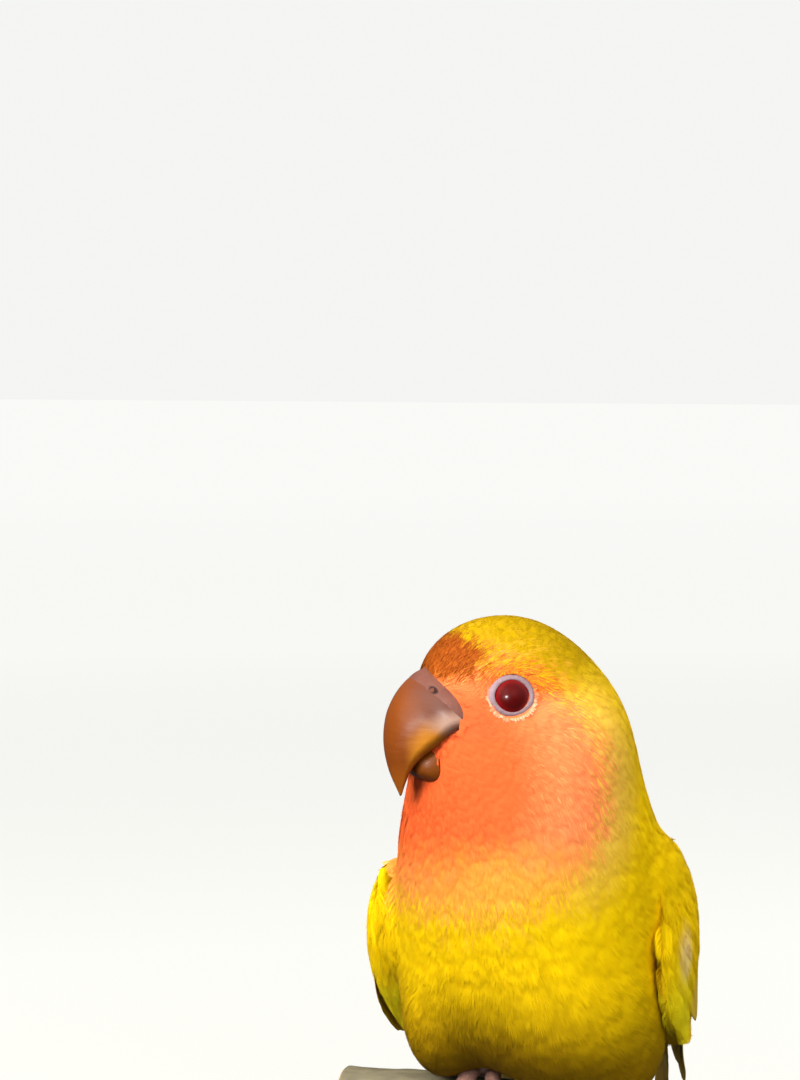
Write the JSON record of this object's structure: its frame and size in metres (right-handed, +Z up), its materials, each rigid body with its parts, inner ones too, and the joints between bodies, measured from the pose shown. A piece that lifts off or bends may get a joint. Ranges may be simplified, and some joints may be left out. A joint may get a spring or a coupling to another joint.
{
  "type": "perched lovebird model",
  "caption": "Still life-size model of a peach-faced lovebird with folded wings, gripping a short branch held on rods above a flat base.",
  "frame": {"origin": "middle of the underside of the stand's base", "axes": "+Z up; the bird's body faces -Y and its head is turned towards -X; +X is the bird's left side"},
  "size_m": [0.074, 0.112, 0.13],
  "materials": {
    "face_plumage": "soft matte feathers, orange-red forehead running to peach cheeks and throat",
    "body_plumage": "smooth satin feathers, bright yellow",
    "wing_plumage": "smooth overlapping feathers, yellow with paler flight feathers",
    "tail_plumage": "smooth overlapping feathers, yellow with orange bases hidden below the coverts",
    "bill_horn": "satin horn, pinkish at the base and orange-brown to the tip",
    "bare_skin": "bare pinkish grey skin",
    "eye": "wet glossy dark red",
    "foot_skin": "scaled pinkish grey skin",
    "claw_horn": "satin pale horn",
    "perch_bark": "olive grey bark with cut ends",
    "stand_wood": "matt painted wood",
    "stand_metal": "brushed steel rod"
  },
  "bodies": {
    "root": {"head": "face_plumage", "neck": "face_plumage", "torso": "body_plumage", "tail": "tail_plumage", "wing_left": "wing_plumage", "wing_right": "wing_plumage", "leg_left": "body_plumage", "leg_right": "body_plumage", "beak_upper": "bill_horn", "beak_lower": "bill_horn", "cere": "bare_skin", "eye_left": "eye", "eye_right": "eye", "foot_left": "foot_skin", "foot_right": "foot_skin", "perch": "perch_bark", "stand_base": "stand_wood", "stand_rod_left": "stand_metal", "stand_rod_right": "stand_metal", "claw_left_1": "claw_horn", "claw_left_2": "claw_horn", "claw_left_3": "claw_horn", "claw_left_4": "claw_horn", "claw_right_1": "claw_horn", "claw_right_2": "claw_horn", "claw_right_3": "claw_horn", "claw_right_4": "claw_horn"}
  },
  "joints": []
}
